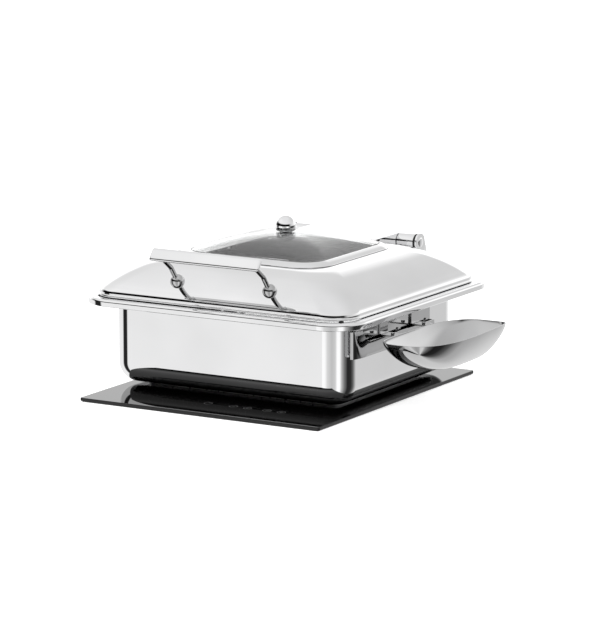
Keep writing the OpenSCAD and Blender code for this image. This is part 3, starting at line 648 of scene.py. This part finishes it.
def tub_rings(w, d, r, fillet, z0, z1, steps=14):
    """Rings of a deep-drawn tub from its flat bottom to its top edge."""
    rings = [ring(w - 2 * fillet - 8, d - 2 * fillet - 8, max(r - fillet - 4, 2.5), z0)]
    for i in range(steps + 1):
        a = math.pi / 2 * i / steps
        inset = fillet * (1 - math.sin(a))
        z = z0 + fillet * (1 - math.cos(a))
        rings.append(ring(w - 2 * inset, d - 2 * inset, max(r - inset, 3.0), z))
    rings.append(ring(w, d, r, z0 + fillet + 3))
    rings.append(ring(w, d, r, z1 - 2))
    rings.append(ring(w, d, r, z1))
    return rings


def dish_body():
    """The polished tub that holds the hot water."""
    w = body_hi[0] - body_lo[0]
    d = body_hi[1] - body_lo[1]
    t = 1.2
    r = 29
    fillet = 24
    outer = tub_rings(w, d, r, fillet, body_lo[2], body_hi[2])
    inner = tub_rings(w - 2 * t, d - 2 * t, r - t, fillet - t, body_lo[2] + t, body_hi[2])
    dress(loft("dish_body", outer + inner[::-1]), "dish", polished, ["water_pan"])


def rim_section():
    """The outer part of the rim's sheet, as points of (distance in from its outer edge, height).

    They run over the top, down the skirt, round the hem and back along the underside."""
    r, t = 3.6, 1.3
    low = rim_lo[2]
    top = [(20.0, RIM), (8.0, RIM)]
    corner = [(r - x, RIM - r + z) for x, z in arc(0, 0, r, 90, 0, 10)]
    hem = [(0, low + 1), (0.3, low + 0.3), (1, low), (2.6, low), (3, low + 0.4), (3, low + 1.2)]
    hem += [(t, low + 1.2)]
    inside = [(r - x, RIM - r + z) for x, z in arc(0, 0, r - t, 0, 90, 6)]
    return top + corner + hem + inside + [(8.0, RIM - t), (20.0, RIM - t)]


def dish_rim():
    """Flat rim with a turned-down skirt and hem, and the opening that the food pan hangs in."""
    w = rim_hi[0] - rim_lo[0]
    d = rim_hi[1] - rim_lo[1]
    cy = (rim_hi[1] + rim_lo[1]) / 2
    corner_r, inner_r = 43, 12
    opening_w, opening_d, opening_r = 304, 244, 26
    lip = [(-0.6, 1.4), (-0.9, 0.7), (-0.6, 0.15), (0.6, 0.0)]
    rings = [ring(w - 2 * inset, d - 2 * inset, max(corner_r - inset, inner_r), z, cy=cy)
             for inset, z in rim_section()]
    rings += [ring(opening_w + 2 * s, opening_d + 2 * s, opening_r + s, RIM - drop) for s, drop in lip]
    dress(loft("skirted_rim", rings, hoop=True), "dish", polished, ["pan_rim"], sharp=50)


def food_pan():
    """Half-size pan whose flange lies on the rim."""
    w, d, r, fillet = 296.0, 236.0, 22, 16
    flange_w, flange_d, flange_r = 325, 265, 30
    t = 0.9
    z0 = pan_lo[2]
    outer = tub_rings(w, d, r, fillet, z0, RIM)
    flange_edge = [(0, 0), (0.4, t / 2), (0, t)]
    flange = [ring(flange_w + s, flange_d + s, flange_r, RIM + z) for s, z in flange_edge]
    inner = tub_rings(w - 2 * t, d - 2 * t, r - t, fillet - t, z0 + t, RIM + t - 2)
    lip = [ring(w - 2 * t + s * 4, d - 2 * t + s * 4, r - t + s * 2, RIM + t - 2 * (1 - s) ** 2)
           for s in (0.25, 0.5, 0.75, 1)]
    rings = outer + flange + lip[::-1] + inner[::-1]
    dress(loft("food_pan_shell", rings), "food_pan", satin, ["food_pan"])


# ---- lid ------------------------------------------------------------------------------------

LID_W = lid_hi[0] - lid_lo[0]
LID_D = lid_hi[1] - lid_lo[1]
LID_Y = (lid_hi[1] + lid_lo[1]) / 2
WINDOW_W = frame_hi[0] - frame_lo[0] - 4
WINDOW_D = frame_hi[1] - frame_lo[1] - 4
WINDOW_Y = (frame_hi[1] + frame_lo[1]) / 2
LID_R = 35.5
WINDOW_R = 36.0
PANE_R = 27.0
FRAME_Z = RIM + 45
# The dome's side as (share of the way in from its edge to the window, height above the rim)
LID_SIDE = [
    (0.013, 3.9), (0.016, 6.0), (0.025, 8.3), (0.05, 10.8), (0.09, 13.6), (0.14, 17.0), (0.21, 21.2),
    (0.32, 27.1), (0.45, 33.0), (0.6, 38.6), (0.8, 43.0), (1.0, 45.0)]


def lid_ring(share, z, t=0.0):
    """Ring of the dome, inset by t; share is 0 at the lid's edge and 1 at the window."""
    swelling = math.sin(math.pi * min(1.0, max(0.0, share)))
    w = LID_W - (LID_W - WINDOW_W) * share - 2 * t
    d = LID_D - (LID_D - WINDOW_D) * share - 2 * t
    r = LID_R + (WINDOW_R - LID_R) * share - t
    return ring(w, d, r, RIM + z, bulge=swelling, cy=LID_Y + (WINDOW_Y - LID_Y) * share)


def lid_dome():
    """Domed sheet with a wired bead along its lower edge."""
    bead, gap, sheet = 1.75, 0.5, 1.2
    span = (LID_W - WINDOW_W) / 2
    side = curve_through(LID_SIDE, 6)
    outer = [lid_ring(share, z) for share, z in side]
    inner = []
    for k, (share, z) in enumerate(side):
        a = side[max(k - 1, 0)]
        b = side[min(k + 1, len(side) - 1)]
        run, rise = (b[0] - a[0]) * span, b[1] - a[1]
        length = math.hypot(run, rise)
        inner.append(lid_ring(share, z - sheet * run / length, sheet * rise / length))
    roll = [lid_ring(0, gap + bead + z, bead - x) for x, z in arc(0, 0, bead, 58, -225, 20)]
    dome = loft("lid_dome", outer[::-1] + roll + inner, hoop=True)
    dress(dome, "lid", polished, ["lid_shell"], sharp=50)


def window_trim():
    """Raised frame round the pane, with a ledge under the pane that it rests on."""
    gap = 0.3
    pane_w = pane_hi[0] - pane_lo[0] + 2 * gap
    pane_d = pane_hi[1] - pane_lo[1] + 2 * gap

    def outside(grow, round_more, z):
        return WINDOW_W + grow, WINDOW_D + grow, WINDOW_R + round_more, FRAME_Z + z

    def round_pane(grow, z):
        return pane_w + grow, pane_d + grow, PANE_R + gap + grow / 2, FRAME_Z + z

    top = curve_through([outside(4, 2, 0.1), outside(3.6, 1.8, 0.9), outside(1, 0.5, 1.7),
                         outside(-6, -3, 3.4), round_pane(2, 4.9), round_pane(0, 5.0)], 5)
    under = [round_pane(0, 2), round_pane(0, -1), round_pane(-10.6, -1), round_pane(-10.6, -2.8),
             outside(-3, -2, -2.8), outside(-2.6, -1.8, 0.1)]
    trim = loft("window_trim", [ring(*p, cy=WINDOW_Y) for p in top + under], hoop=True)
    dress(trim, "lid", polished, ["window_frame"], sharp=45)


def crown_ring(share, drop):
    """Ring of the crowned pane; share is 0 at its edge and 1 at its middle hole."""
    hole_share, hole_roundness = 0.043, 0.98
    k = 1 - share * (1 - hole_share)
    w = (pane_hi[0] - pane_lo[0]) * k
    d = (pane_hi[1] - pane_lo[1]) * k
    roundness = 2 * PANE_R / min(pane_hi[0] - pane_lo[0], pane_hi[1] - pane_lo[1])
    r = min(w, d) / 2 * (roundness + (hole_roundness - roundness) * share)
    edge = FRAME_Z + 5
    return ring(w, d, r, edge + (pane_hi[2] - edge) * (1 - k * k) - drop, cy=WINDOW_Y)


def window_pane():
    """Crowned glass with its edge broken on both sides."""
    thick, broken = 4.0, 0.5
    shares = [0.004, 0.015, 0.03] + [0.03 + 0.97 * (i / 24) for i in range(1, 25)]
    top = [crown_ring(0, broken)] + [crown_ring(share, 0) for share in shares]
    bottom = [crown_ring(0, thick - broken)] + [crown_ring(share, thick) for share in shares]
    pane = loft("window_pane", top + bottom[::-1], hoop=True)
    dress(pane, "lid", clear_glass, ["window_glass"], sharp=60)


def lid_knob():
    """A ball whose underside is cut flat, with the edge of the cut just broken."""
    radius = (knob_hi[0] - knob_lo[0]) / 2
    centre = (0, WINDOW_Y, knob_hi[2] - radius)
    cut, edge = knob_lo[2] - centre[2] + 0.01, 0.5
    start = math.degrees(math.asin((cut + edge) / radius))
    side = arc(0, 0, radius, start, 90, 40)
    profile = [(0.0, cut), (side[0][0] - edge, cut)] + side[:-1] + [(0.0, radius)]
    dress(join("ball_knob", [lathe_data(profile, centre)]), "lid", polished, ["lid_knob"])


# ---- handle ---------------------------------------------------------------------------------

STEM_TILT = 52.0
GRIP_TILT = 36.0
STRAP_TILT = 56.0
STRAP_T = 2.5
STRAP_W = 5.5
STRAP_EDGE = 0.3
handle_x = (grip_lo[0] + grip_hi[0]) / 2
STEM_R = 3.0
stem_xs = [stems_lo[0] + STEM_R, stems_hi[0] - STEM_R]
strap_y = lid_lo[1] + 2.45
strap_z = RIM + 9.6
grip_mid = ((grip_lo[1] + grip_hi[1]) / 2, (grip_lo[2] + grip_hi[2]) / 2)


def stem_path():
    """(y, z) along a stem's centre line: two bends up, a straight, a bend back and a straight to the grip.

    Angles are above the horizontal, in degrees."""
    points = [(strap_y - 2, strap_z + 1.05)]

    def bend(r, a0, a1):
        y, z = points[-1]
        for k in range(1, 13):
            a = math.radians(a0 + (a1 - a0) * k / 12)
            points.append((y + r * (math.sin(math.radians(a0)) - math.sin(a)),
                           z + r * (math.cos(math.radians(a0)) - math.cos(a))))

    def straight(length, a):
        y, z = points[-1]
        c, sn = math.cos(math.radians(a)), math.sin(math.radians(a))
        points.extend([(y - c * length * k / 6, z + sn * length * k / 6) for k in range(1, 7)])

    bend(20, 0, 35)
    bend(90, 35, STEM_TILT)
    straight(27, STEM_TILT)
    bend(-15, STEM_TILT, GRIP_TILT)
    straight(25, GRIP_TILT)
    return points


def handle_rods():
    """The two stems, which thicken along their lower bends."""
    path = stem_path()
    radii = [STEM_R * (0.8 + 0.2 * min(1.0, k / 24)) for k in range(len(path))]
    parts = [tube_data([Vector((x, y, z)) for y, z in path], radii, 28) for x in stem_xs]
    dress(join("handle_rods", parts), "lid", shade_painted_steel, ["handle_stems"], sharp=50)


def handle_beads():
    """The ball half way up each stem."""
    z = (balls_lo[2] + balls_hi[2]) / 2
    y = (balls_lo[1] + balls_hi[1]) / 2
    radius = (balls_hi[1] - balls_lo[1]) / 2
    profile = [(0, -radius)] + arc(0, 0, radius, -86, 86, 43) + [(0, radius)]
    parts = [lathe_data(profile, (x, y, z), "X", 48) for x in stem_xs]
    dress(join("handle_beads", parts), "lid", shade_painted_steel, ["handle_balls"])


def handle_strap():
    """Slim strap with pointed ends that lies on the dome and backs the two stems."""
    half = (foot_hi[0] - foot_lo[0]) / 2
    cx = (foot_hi[0] + foot_lo[0]) / 2
    tilt = math.radians(STRAP_TILT)
    along = Vector((0, math.cos(tilt), math.sin(tilt)))
    out = Vector((0, -math.sin(tilt), math.cos(tilt)))
    rings = []
    for i in range(41):
        share = math.sin((-1 + 2 * i / 40) * math.pi / 2)
        taper = max(0.06, (1 - abs(share) ** 8)) ** 0.6
        h = STRAP_W / 2 * taper
        middle = Vector((cx + half * share, strap_y, strap_z))
        section = [middle - along * h, middle + along * h]
        for a in range(80, -81, -20):
            height = STRAP_EDGE + (STRAP_T - STRAP_EDGE) * math.cos(math.radians(a)) * taper
            section.append(middle + along * (h * math.sin(math.radians(a))) + out * height)
        rings.append(section)
    dress(loft("handle_strap", rings), "lid", shade_painted_steel, ["handle_foot"], sharp=60)


def grip_bar():
    """Flat polished bar with a softly crowned face, leaning back in line with the stems."""
    h, t, end_r = 16.0, 5.0, 2.5
    tilt = math.radians(GRIP_TILT)
    up = Vector((0, math.sin(tilt), math.cos(tilt)))
    out = Vector((0, -math.cos(tilt), math.sin(tilt)))
    centre = Vector((handle_x, grip_mid[0], grip_mid[1]))
    half = (grip_hi[0] - grip_lo[0]) / 2
    rings = []
    for i in range(49):
        s = -1 + 2 * i / 48
        x = half * math.sin(s * math.pi / 2)
        from_end = min(1.0, (half - abs(x)) / end_r)
        shrink = max(0.1, math.sqrt(max(0.0, 1 - (1 - from_end) ** 2)))
        section = []
        for k in range(40):
            a = 2 * math.pi * k / 40
            c, sn = math.cos(a), math.sin(a)
            u = math.copysign(abs(c) ** 0.55, c) * (h / 2 - end_r + end_r * shrink)
            v = math.copysign(abs(sn) ** 0.8, sn) * t / 2 * shrink
            section.append(centre + Vector((x, 0, 0)) + up * u + out * v)
        rings.append(section)
    dress(loft("grip_bar", rings), "lid", polished, ["handle_grip"], sharp=60)


# ---- spoon rest -----------------------------------------------------------------------------

BOWL_W = bowl_hi[0] - bowl_lo[0]
BOWL_L = bowl_hi[1] - bowl_lo[1]
BOWL_H = bowl_hi[2] - bowl_lo[2]
BOWL_SKEW = 11.0
BOWL_SLOPE = 0.7
BOWL_INSET = (26.0, 56.0)
BOWL_LEAN = (3.0, 6.0)
TIP_LIFT = 2.0


def bowl_ring(inset_x, inset_y, z, depth=0.0, steps=96):
    """Ring of the spoon bowl: straight sides, ends that lean to opposite sides, a far outer tip that lifts.

    depth is 0 at the rim and 1 at the bottom, which lies a little outwards and back."""
    w = BOWL_W - 2 * inset_x
    d = BOWL_L - 2 * inset_y
    cx = (bowl_hi[0] + bowl_lo[0]) / 2 + BOWL_LEAN[0] * depth
    cy = (bowl_hi[1] + bowl_lo[1]) / 2 + BOWL_LEAN[1] * depth
    points = []
    for i in range(steps):
        a = 2 * math.pi * i / steps
        c, sn = math.cos(a), math.sin(a)
        x = w / 2 * math.copysign(abs(c) ** 0.5, c) + BOWL_SKEW * sn ** 3 * w / BOWL_W
        y = d / 2 * math.copysign(abs(sn) ** 0.85, sn)
        lift = TIP_LIFT * max(0.0, c * sn) * max(0.0, (z - bowl_lo[2]) / BOWL_H)
        points.append(Vector((cx + x, cy + y, z + lift)))
    return points


def bowl_side(y):
    """X of the bowl's inner side at a distance y along the wall."""
    return min((p for p in bowl_ring(0, 0, bowl_hi[2]) if p.x < (bowl_lo[0] + bowl_hi[0]) / 2),
               key=lambda p: abs(p.y - y)).x


def spoon_dish():
    """Thin bowl with a rounded lip."""
    t = 1.0
    steps = 18

    def wall(inset):
        rings = []
        for i in range(steps + 1):
            a = math.pi / 2 * i / steps
            k = (1 - math.sin(a)) ** BOWL_SLOPE
            z = bowl_hi[2] - (BOWL_H - inset) * math.cos(a)
            rings.append(bowl_ring(inset + BOWL_INSET[0] * k, inset + BOWL_INSET[1] * k, z, k))
        return rings

    lip = [bowl_ring(t / 2 - x, t / 2 - x, bowl_hi[2] + z) for x, z in arc(0, 0, t / 2, 30, 150, 4)]
    bowl = loft("spoon_dish", wall(0.0) + lip + wall(t)[::-1])
    dress(bowl, "spoon_rest", shade_painted_steel, ["spoon_rest"], sharp=50)


HOOK_W = 18.0
TAIL = 8.0
PLATE_T = 1.5


def spoon_hangers():
    """Two flat hooks from the bowl's rim up and over the bracket's back plate."""
    t, gap = 2.0, 0.3
    top = hooks_hi[2]
    tail_x = hooks_lo[0]
    x_out = channel_lo[0] + PLATE_T + gap
    arm = bowl_hi[2] - 0.6
    parts = []
    for y0 in (hooks_lo[1], hooks_hi[1] - HOOK_W):
        y1 = y0 + HOOK_W
        tail = [(x_out + 1.5, arm - t), (x_out, arm - t + 1.5), (x_out, top - t), (tail_x + t, top - t),
                (tail_x + t, top - TAIL), (tail_x, top - TAIL)]
        outline = tail + arc(tail_x + t, top - t, t, 180, 90, 6) + arc(x_out, top - t, t, 90, 0, 6)
        outline += [(x_out + t, arm + 1), (x_out + t + 1, arm)]
        n = len(outline) + 2
        verts = []
        for y in (y0, y1):
            rest = bowl_side(y) + 0.4
            verts += [Vector((x, y, z)) for x, z in [(rest, arm - t)] + outline + [(rest, arm)]]
        faces = [[i, (i + 1) % n, n + (i + 1) % n, n + i] for i in range(n)]
        faces += [list(range(n - 1, -1, -1)), list(range(n, 2 * n))]
        parts.append((verts, faces))
    hooks = join("spoon_hangers", parts)
    dress(hooks, "spoon_rest", shade_painted_steel, ["spoon_hooks"], bevel=0.35)


def wall_bracket():
    """Channel on the dish's right wall, with a tall back plate.

    Its outer wall is low, and sweeps up round the front end to the plate's full height."""
    x0, x1 = channel_lo[0], channel_hi[0]
    y0, y1 = channel_lo[1], channel_hi[1]
    z0, z1 = channel_lo[2], channel_hi[2]
    t, low = PLATE_T, z0 + 17
    end_x, end_y = 6.5, 26.0
    sweep_front, sweep_l = y0 + 16, 18.0
    ys = [sweep_front + sweep_l * k / 12 for k in range(7, 13)]

    def top(y):
        k = min(1.0, max(0.0, (y - sweep_front) / sweep_l))
        return low + (z1 - low) * (1 - k) ** 2

    def plan(inset):
        curve = [(x1 - end_x + (end_x - inset) * c, y0 + end_y + (end_y - inset) * sn)
                 for c, sn in arc(0, 0, 1, -90, 0, 16)]
        back = [(x1 - inset, y1 - inset), (x0, y1 - inset)]
        return [(x0, y0 + inset)] + curve + [(x1 - inset, y) for y in ys] + back

    outside = plan(0)
    inside = plan(t)
    n = len(outside)
    verts = []
    for line in (outside, inside):
        verts += [Vector((x, y, z0)) for x, y in line]
        verts += [Vector((x, y, top(q))) for (x, y), (_, q) in zip(line, outside)]
    faces = []
    for i in range(n - 1):
        faces.append([i, i + 1, n + i + 1, n + i])
        faces.append([2 * n + i, 3 * n + i, 3 * n + i + 1, 2 * n + i + 1])
        faces.append([i, 2 * n + i, 2 * n + i + 1, i + 1])
        faces.append([n + i, n + i + 1, 3 * n + i + 1, 3 * n + i])
    faces.append([0, n, 3 * n, 2 * n])
    faces.append([n - 1, 3 * n - 1, 4 * n - 1, 2 * n - 1])
    wall = (verts, faces)
    back_plate = box_data((x0, y0 + 0.05, z0), (x0 + t, y1 - 0.05, z1))
    m = len(inside)
    floor_verts = [Vector((x - 0.01, y, z0 + z)) for z in (0, t) for x, y in inside]
    floor_faces = [list(range(m - 1, -1, -1)), list(range(m, 2 * m))]
    floor_faces += [[i, (i + 1) % m, m + (i + 1) % m, m + i] for i in range(m)]
    bracket = join("wall_bracket", [wall, back_plate, (floor_verts, floor_faces)])
    dress(bracket, "dish", shade_painted_steel, ["side_bracket"], bevel=0.3, merge=0.00001)


# ---- hinge ----------------------------------------------------------------------------------

PIN_Y = (pin_lo[1] + pin_hi[1]) / 2
PIN_Z = (pin_lo[2] + pin_hi[2]) / 2
BARREL_R = leaf_hi[1] - PIN_Y


def barrel(x0, x1):
    """A turned barrel with softened rims."""
    r = BARREL_R
    profile = [(0, x0), (r - 0.6, x0), (r - 0.15, x0 + 0.2), (r, x0 + 0.8),
               (r, x1 - 0.8), (r - 0.15, x1 - 0.2), (r - 0.6, x1), (0, x1)]
    return lathe_data(profile, (0, PIN_Y, PIN_Z), "X", 64)


def lid_top(y):
    """Height of the dome on its middle line, y behind the body's centre."""
    share = (lid_hi[1] - y) / (lid_hi[1] - WINDOW_Y - WINDOW_D / 2)
    for (s0, z0), (s1, z1) in zip(LID_SIDE, LID_SIDE[1:]):
        if share <= s1:
            return RIM + z0 + (z1 - z0) * (share - s0) / (s1 - s0)
    return FRAME_Z


def hinge_cover():
    """The leaf on the lid: a flat plate, two cheeks down to the dome, and the turning barrel."""
    top = leaf_hi[2]
    front = leaf_lo[1]
    half = leaf_hi[0]
    t, cheek_t = 2.5, 2.0
    side = half - 0.02
    outline = [(front, top - t), (front, top - 0.8), (front + 0.3, top - 0.2), (front + 1, top)]
    outline += [(PIN_Y, top), (PIN_Y, top - t)]
    plate = prism_data(outline[::-1], -half, half)
    cheek_line = [(front + 6 * k, lid_top(front + 6 * k) + 0.5) for k in range(8)]
    cheek = cheek_line + [(PIN_Y - 6, PIN_Z - 6), (PIN_Y, top - 1), (front, top - 1)]
    parts = [barrel(-half, half), plate]
    parts += [prism_data(cheek, half - cheek_t, side), prism_data(cheek, -side, -half + cheek_t)]
    dress(join("hinge_cover", parts), "lid", polished, ["hinge_leaf"], bevel=0.3)


EAR_T = 2.5
CAP_T = 1.0
RING_T = 3.3
NECK_R = 6


def hinge_arms():
    """Two ears on a strip that is screwed to the rim's back, with the fixed barrels between them."""
    ear = caps_hi[0] - CAP_T - EAR_T
    front, back = lid_hi[1] + 1.4, rim_hi[1] - 4
    eye = arc(PIN_Y, PIN_Z, BARREL_R + 1.5, 5, 195, 18)
    outline = [(front, RIM), (back, RIM), (back + 0.8, RIM + 10), (back + 1, RIM + 22)] + eye
    outline += [(front - 1, PIN_Z - 16), (front - 0.3, RIM + 10)]
    strip_t = 2.5
    parts = [box_data((-ear - EAR_T, front, RIM), (ear + EAR_T, back, RIM + strip_t))]
    for side in (-1, 1):
        parts.append(prism_data(outline[::-1], *sorted((side * ear, side * (ear + EAR_T)))))
        parts.append(barrel(*sorted((side * (leaf_hi[0] + 0.5), side * (ear - RING_T)))))
        x0, x1 = sorted((side * (ear - RING_T - 1), side * (ear + 1)))
        neck = [(0, x0), (NECK_R, x0), (NECK_R, x1), (0, x1)]
        parts.append(lathe_data(neck, (0, PIN_Y, PIN_Z), "X", 32))
    dress(join("hinge_arms", parts), "dish", polished, ["hinge_bracket"], bevel=0.3)


def hinge_caps():
    """Low domes that close the ends of the hinge."""
    parts = []
    for side in (-1, 1):
        dome = [(0, 0)] + arc(0, 0, 1, 0, 90, 9)
        profile = [(NECK_R * r, side * CAP_T * (h - 1)) for r, h in dome]
        parts.append(lathe_data(profile, (side * caps_hi[0], PIN_Y, PIN_Z), "X", 48))
    dress(join("domed_caps", parts), "dish", polished, ["hinge_caps"])


hob_glass()
hob_print()
dish_body()
dish_rim()
food_pan()
lid_dome()
window_trim()
window_pane()
lid_knob()
handle_rods()
handle_beads()
handle_strap()
grip_bar()
spoon_dish()
spoon_hangers()
wall_bracket()
hinge_cover()
hinge_arms()
hinge_caps()

# ---- finishes of the CAD nodes that stay ----------------------------------------------------

FINISHES = {
    rubber: ["glass_seal", "lid_bumpers", "window_gasket", "knob_washer", "hinge_rings"],
    zinc: ["hob_housing", "base_cover", "worktop_clamps"],
    plated: ["base_screws", "clamp_screws", "bracket_studs", "hinge_screws", "hinge_pin", "knob_screw",
             "handle_nuts", "spoon_rivets"],
    milled: ["shield_plate", "heatsink"],
    carrier: ["coil_carrier", "control_holder", "terminal_block"],
    ferrite: ["ferrite_bars"],
    copper: ["induction_coil", "filter_choke"],
    paper: ["insulation_disc"],
    ceramic: ["temperature_sensor"],
    sleeve: ["coil_leads"],
    solder_mask: ["power_board", "control_board"],
    brass: ["board_standoffs", "touch_springs"],
    epoxy: ["power_transistors"],
    film: ["filter_capacitors"],
    red_window: ["display_module"],
    moulding: ["fan_housing", "fan_rotor", "air_duct", "cable_gland", "gland_nut", "hinge_damper"],
    brushed_base: ["induction_base"],
}
for finish, names in FINISHES.items():
    for name in names:
        for mesh_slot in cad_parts[name].material_slots:
            mesh_slot.material = finish
